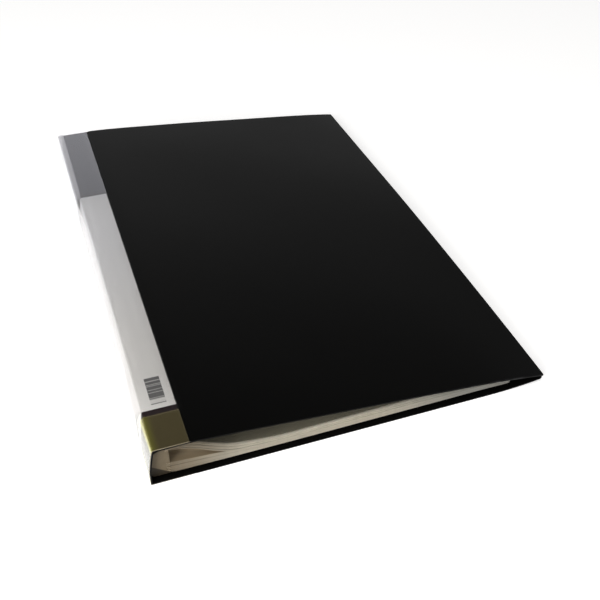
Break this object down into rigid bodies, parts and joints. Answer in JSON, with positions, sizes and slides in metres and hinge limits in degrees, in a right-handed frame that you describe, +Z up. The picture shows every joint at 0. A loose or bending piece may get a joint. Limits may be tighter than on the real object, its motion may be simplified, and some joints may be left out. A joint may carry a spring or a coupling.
{
  "type": "display book",
  "caption": "Display book with a folded black cover, clear pockets on the spine and a clear spine sleeve holding a label card.",
  "frame": {"origin": "bottom centre of the closed book, on the surface that it lies on", "axes": "+X from the spine to the fore edge, +Y along the spine towards the open ends of the pockets, +Z up through the closed book"},
  "size_m": [0.237, 0.355, 0.0256],
  "materials": {
    "cover_sheet": "satin",
    "clear_film": "gloss",
    "label_card": "matte",
    "pocket_film": "satin",
    "pocket_weld": "satin"
  },
  "bodies": {
    "back_cover": {"back_cover": "cover_sheet", "sleeve_back": "clear_film", "end_film_back": "clear_film", "weld_seam_back": "clear_film"},
    "spine": {"spine_panel": "cover_sheet", "sleeve_spine": "clear_film", "end_film_spine": "clear_film", "pocket_binding": "pocket_weld"},
    "front_band": {"front_band": "cover_sheet", "sleeve_front": "clear_film", "end_film_front": "clear_film", "weld_seam_front": "clear_film"},
    "front_cover": {"front_cover": "cover_sheet"},
    "card_spine": {"label_card_spine": "label_card"},
    "card_front": {"label_card_front": "label_card"},
    "card_back": {"label_card_back": "label_card"},
    "pocket_01": {"pocket_01_back_film": "pocket_film", "pocket_01_front_film": "pocket_film"},
    "pocket_02": {"pocket_02_back_film": "pocket_film", "pocket_02_front_film": "pocket_film"},
    "pocket_03": {"pocket_03_back_film": "pocket_film", "pocket_03_front_film": "pocket_film"},
    "pocket_04": {"pocket_04_back_film": "pocket_film", "pocket_04_front_film": "pocket_film"},
    "pocket_05": {"pocket_05_back_film": "pocket_film", "pocket_05_front_film": "pocket_film"},
    "pocket_06": {"pocket_06_back_film": "pocket_film", "pocket_06_front_film": "pocket_film"},
    "pocket_07": {"pocket_07_back_film": "pocket_film", "pocket_07_front_film": "pocket_film"},
    "pocket_08": {"pocket_08_back_film": "pocket_film", "pocket_08_front_film": "pocket_film"},
    "pocket_09": {"pocket_09_back_film": "pocket_film", "pocket_09_front_film": "pocket_film"},
    "pocket_10": {"pocket_10_back_film": "pocket_film", "pocket_10_front_film": "pocket_film"},
    "pocket_11": {"pocket_11_back_film": "pocket_film", "pocket_11_front_film": "pocket_film"},
    "pocket_12": {"pocket_12_back_film": "pocket_film", "pocket_12_front_film": "pocket_film"},
    "pocket_13": {"pocket_13_back_film": "pocket_film", "pocket_13_front_film": "pocket_film"},
    "pocket_14": {"pocket_14_back_film": "pocket_film", "pocket_14_front_film": "pocket_film"},
    "pocket_15": {"pocket_15_back_film": "pocket_film", "pocket_15_front_film": "pocket_film"},
    "pocket_16": {"pocket_16_back_film": "pocket_film", "pocket_16_front_film": "pocket_film"},
    "pocket_17": {"pocket_17_back_film": "pocket_film", "pocket_17_front_film": "pocket_film"},
    "pocket_18": {"pocket_18_back_film": "pocket_film", "pocket_18_front_film": "pocket_film"},
    "pocket_19": {"pocket_19_back_film": "pocket_film", "pocket_19_front_film": "pocket_film"},
    "pocket_20": {"pocket_20_back_film": "pocket_film", "pocket_20_front_film": "pocket_film"}
  },
  "joints": [
    {"name": "spine_fold", "type": "hinge", "parent": "back_cover", "child": "spine", "pos_m": [-0.1185, 0, 0], "axis": [0, -1, 0], "range_deg": [0, 96.68]},
    {"name": "band_fold", "type": "hinge", "parent": "spine", "child": "front_band", "pos_m": [-0.1155, 0, 0.0256], "axis": [0, -1, 0], "range_deg": [0, 83.32]},
    {"name": "cover_fold", "type": "hinge", "parent": "front_band", "child": "front_cover", "pos_m": [-0.0955, 0, 0.0249], "axis": [0, -1, 0], "range_deg": [0, 5]},
    {"name": "pocket_01_turn", "type": "hinge", "parent": "spine", "child": "pocket_01", "pos_m": [-0.1005, 0, 0.0023], "axis": [0, -1, 0], "range_deg": [-100.93, 0]},
    {"name": "pocket_02_turn", "type": "hinge", "parent": "spine", "child": "pocket_02", "pos_m": [-0.0997, 0, 0.00302], "axis": [0, -1, 0], "range_deg": [-100.78, 0]},
    {"name": "pocket_03_turn", "type": "hinge", "parent": "spine", "child": "pocket_03", "pos_m": [-0.0989, 0, 0.00374], "axis": [0, -1, 0], "range_deg": [-100.64, 0]},
    {"name": "pocket_04_turn", "type": "hinge", "parent": "spine", "child": "pocket_04", "pos_m": [-0.0981, 0, 0.00446], "axis": [0, -1, 0], "range_deg": [-100.5, 0]},
    {"name": "pocket_05_turn", "type": "hinge", "parent": "spine", "child": "pocket_05", "pos_m": [-0.0973, 0, 0.00518], "axis": [0, -1, 0], "range_deg": [-100.35, 0]},
    {"name": "pocket_06_turn", "type": "hinge", "parent": "spine", "child": "pocket_06", "pos_m": [-0.0965, 0, 0.0059], "axis": [0, -1, 0], "range_deg": [-100.2, 0]},
    {"name": "pocket_07_turn", "type": "hinge", "parent": "spine", "child": "pocket_07", "pos_m": [-0.0957, 0, 0.00662], "axis": [0, -1, 0], "range_deg": [-100.05, 0]},
    {"name": "pocket_08_turn", "type": "hinge", "parent": "spine", "child": "pocket_08", "pos_m": [-0.0949, 0, 0.00734], "axis": [0, -1, 0], "range_deg": [-99.9, 0]},
    {"name": "pocket_09_turn", "type": "hinge", "parent": "spine", "child": "pocket_09", "pos_m": [-0.0941, 0, 0.00806], "axis": [0, -1, 0], "range_deg": [-99.75, 0]},
    {"name": "pocket_10_turn", "type": "hinge", "parent": "spine", "child": "pocket_10", "pos_m": [-0.0933, 0, 0.00878], "axis": [0, -1, 0], "range_deg": [-99.6, 0]},
    {"name": "pocket_11_turn", "type": "hinge", "parent": "spine", "child": "pocket_11", "pos_m": [-0.0933, 0, 0.0161], "axis": [0, -1, 0], "range_deg": [0, 90.89]},
    {"name": "pocket_12_turn", "type": "hinge", "parent": "spine", "child": "pocket_12", "pos_m": [-0.0941, 0, 0.0166], "axis": [0, -1, 0], "range_deg": [0, 90.92]},
    {"name": "pocket_13_turn", "type": "hinge", "parent": "spine", "child": "pocket_13", "pos_m": [-0.0949, 0, 0.0171], "axis": [0, -1, 0], "range_deg": [0, 90.94]},
    {"name": "pocket_14_turn", "type": "hinge", "parent": "spine", "child": "pocket_14", "pos_m": [-0.0957, 0, 0.0176], "axis": [0, -1, 0], "range_deg": [0, 90.97]},
    {"name": "pocket_15_turn", "type": "hinge", "parent": "spine", "child": "pocket_15", "pos_m": [-0.0965, 0, 0.0181], "axis": [0, -1, 0], "range_deg": [0, 90.99]},
    {"name": "pocket_16_turn", "type": "hinge", "parent": "spine", "child": "pocket_16", "pos_m": [-0.0973, 0, 0.0186], "axis": [0, -1, 0], "range_deg": [0, 91.01]},
    {"name": "pocket_17_turn", "type": "hinge", "parent": "spine", "child": "pocket_17", "pos_m": [-0.0981, 0, 0.0191], "axis": [0, -1, 0], "range_deg": [0, 91.04]},
    {"name": "pocket_18_turn", "type": "hinge", "parent": "spine", "child": "pocket_18", "pos_m": [-0.0989, 0, 0.0196], "axis": [0, -1, 0], "range_deg": [0, 91.06]},
    {"name": "pocket_19_turn", "type": "hinge", "parent": "spine", "child": "pocket_19", "pos_m": [-0.0997, 0, 0.0201], "axis": [0, -1, 0], "range_deg": [0, 91.09]},
    {"name": "pocket_20_turn", "type": "hinge", "parent": "spine", "child": "pocket_20", "pos_m": [-0.1005, 0, 0.0206], "axis": [0, -1, 0], "range_deg": [0, 91.11]},
    {"name": "card_slide", "type": "slide", "parent": "spine", "child": "card_spine", "axis": [0, 1, 0], "range_m": [0, 0.33]},
    {"name": "card_front_slide", "type": "slide", "parent": "front_band", "child": "card_front", "axis": [0, 1, 0], "range_m": [0, 0.33]},
    {"name": "card_back_slide", "type": "slide", "parent": "back_cover", "child": "card_back", "axis": [0, 1, 0], "range_m": [0, 0.33]}
  ],
  "couplings": [
    {"joint": "band_fold", "follows": "spine_fold", "ratio": 0.86174},
    {"joint": "cover_fold", "follows": "spine_fold", "ratio": 0.051738},
    {"joint": "pocket_01_turn", "follows": "spine_fold", "ratio": -1.0439},
    {"joint": "pocket_02_turn", "follows": "spine_fold", "ratio": -1.0424},
    {"joint": "pocket_03_turn", "follows": "spine_fold", "ratio": -1.0409},
    {"joint": "pocket_04_turn", "follows": "spine_fold", "ratio": -1.0394},
    {"joint": "pocket_05_turn", "follows": "spine_fold", "ratio": -1.0379},
    {"joint": "pocket_06_turn", "follows": "spine_fold", "ratio": -1.0364},
    {"joint": "pocket_07_turn", "follows": "spine_fold", "ratio": -1.0348},
    {"joint": "pocket_08_turn", "follows": "spine_fold", "ratio": -1.0333},
    {"joint": "pocket_09_turn", "follows": "spine_fold", "ratio": -1.0317},
    {"joint": "pocket_10_turn", "follows": "spine_fold", "ratio": -1.0302},
    {"joint": "pocket_11_turn", "follows": "spine_fold", "ratio": 0.94009},
    {"joint": "pocket_12_turn", "follows": "spine_fold", "ratio": 0.94035},
    {"joint": "pocket_13_turn", "follows": "spine_fold", "ratio": 0.94061},
    {"joint": "pocket_14_turn", "follows": "spine_fold", "ratio": 0.94086},
    {"joint": "pocket_15_turn", "follows": "spine_fold", "ratio": 0.94111},
    {"joint": "pocket_16_turn", "follows": "spine_fold", "ratio": 0.94137},
    {"joint": "pocket_17_turn", "follows": "spine_fold", "ratio": 0.94161},
    {"joint": "pocket_18_turn", "follows": "spine_fold", "ratio": 0.94186},
    {"joint": "pocket_19_turn", "follows": "spine_fold", "ratio": 0.94211},
    {"joint": "pocket_20_turn", "follows": "spine_fold", "ratio": 0.94235},
    {"joint": "card_front_slide", "follows": "card_slide", "ratio": 1},
    {"joint": "card_back_slide", "follows": "card_slide", "ratio": 1}
  ]
}
